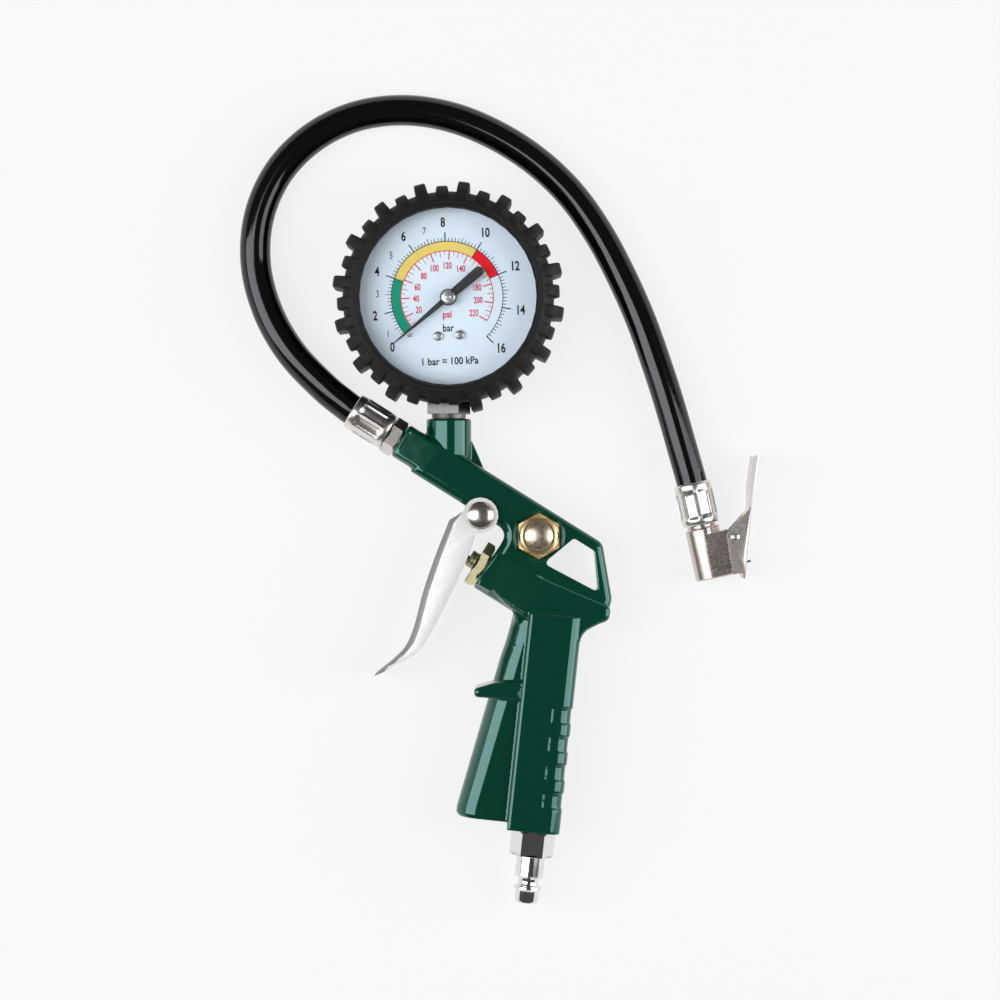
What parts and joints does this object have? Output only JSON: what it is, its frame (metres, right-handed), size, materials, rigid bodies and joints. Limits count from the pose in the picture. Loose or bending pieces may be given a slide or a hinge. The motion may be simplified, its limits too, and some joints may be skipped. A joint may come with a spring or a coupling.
{
  "type": "tire inflator gun",
  "caption": "Pistol-grip air-line tyre inflator with trigger valve, dial pressure gauge in a ribbed rubber boot, deflate button and short hose with clip-on chuck.",
  "frame": {"origin": "on the gauge axis at the flat back of the rubber boot, which lies on the table", "axes": "+Z out of the gauge face, +Y from the grip to the gauge, +X from the hose bend towards the chuck"},
  "size_m": [0.2193, 0.341, 0.037],
  "materials": {
    "green_paint": "gloss green paint on die-cast alloy",
    "black_rubber": "matte",
    "hose_rubber": "satin",
    "seal_rubber": "matte",
    "brass": "satin",
    "nickel": "polished nickel plate",
    "chrome": "polished",
    "steel": "satin",
    "copper": "satin",
    "case_black": "matte",
    "dial_white": "matte",
    "pointer_black": "matte",
    "lens_clear": "gloss"
  },
  "bodies": {
    "gun": {"gun_body": "green_paint", "inlet_nipple": "chrome", "trigger_pin": "nickel", "valve_nut": "brass", "valve_spring": "steel", "deflate_nut": "brass", "deflate_spring": "steel", "gauge_boot": "black_rubber", "gauge_case": "case_black", "gauge_lens": "lens_clear", "lens_ring": "case_black", "gauge_dial": "dial_white", "dial_screw_left": "steel", "dial_screw_right": "steel", "pointer_stop_pin": "steel", "bourdon_tube": "brass", "hairspring": "steel", "movement_rear_plate": "brass", "movement_front_plate": "brass", "gauge_socket": "nickel", "gauge_washer": "copper", "hose_fitting": "nickel", "hose_ferrule": "nickel", "hose": "hose_rubber", "chuck_ferrule": "nickel", "chuck_tail": "nickel", "chuck_body": "nickel", "chuck_pin": "steel", "chuck_spring": "steel", "chuck_gasket": "seal_rubber", "core_pin": "brass"},
    "trigger": {"trigger_lever": "nickel"},
    "plunger": {"valve_plunger": "steel", "valve_washer": "seal_rubber"},
    "deflate": {"deflate_button": "brass", "deflate_washer": "seal_rubber"},
    "sector": {"sector_gear": "brass"},
    "pointer": {"gauge_pointer": "pointer_black", "pointer_cap": "steel", "pinion_shaft": "steel"},
    "link": {"link_rod": "steel"},
    "lever": {"chuck_lever": "nickel"},
    "jaw": {"chuck_jaw": "steel"}
  },
  "joints": [
    {"name": "trigger_pull", "type": "hinge", "parent": "gun", "child": "trigger", "pos_m": [0.01333, -0.09073, 0.0135], "axis": [0, 0, 1], "range_deg": [0, 13], "stiffness_Nm_per_rad": 1.2, "springref_deg": -8.59},
    {"name": "plunger_slide", "type": "slide", "parent": "gun", "child": "plunger", "axis": [0.848, -0.5299, 0], "range_m": [0, 0.0041], "deforming": ["valve_spring"]},
    {"name": "deflate_press", "type": "slide", "parent": "gun", "child": "deflate", "axis": [0, 0, -1], "range_m": [0, 0.002], "stiffness_N_per_m": 900, "springref_m": -0.002, "deforming": ["deflate_spring"]},
    {"name": "sector_turn", "type": "hinge", "parent": "gun", "child": "sector", "pos_m": [0, -0.0186, 0.0179], "axis": [0, 0, 1], "range_deg": [0, 39.1], "stiffness_Nm_per_rad": 0.004, "springref_deg": -5.73},
    {"name": "pointer_turn", "type": "hinge", "parent": "gun", "child": "pointer", "pos_m": [0, 0, 0.028], "axis": [0, 0, 1], "range_deg": [-264, 0]},
    {"name": "link_swing", "type": "hinge", "parent": "sector", "child": "link", "pos_m": [-0.005, -0.0186, 0.0192], "axis": [0, 0, 1], "range_deg": [-40, 0]},
    {"name": "lever_press", "type": "hinge", "parent": "gun", "child": "lever", "pos_m": [0.12, -0.09981, 0.0099], "axis": [0, 0, 1], "range_deg": [0, 15], "stiffness_Nm_per_rad": 0.5, "springref_deg": -8.59},
    {"name": "jaw_slide", "type": "slide", "parent": "gun", "child": "jaw", "axis": [0.9763, 0.2164, 0], "range_m": [0, 0.0031]}
  ],
  "couplings": [
    {"joint": "plunger_slide", "follows": "trigger_pull", "m_per_rad": 0.0178},
    {"joint": "pointer_turn", "follows": "sector_turn", "ratio": -6.75},
    {"joint": "link_swing", "follows": "sector_turn", "ratio": -1},
    {"joint": "jaw_slide", "follows": "lever_press", "m_per_rad": 0.0114}
  ]
}
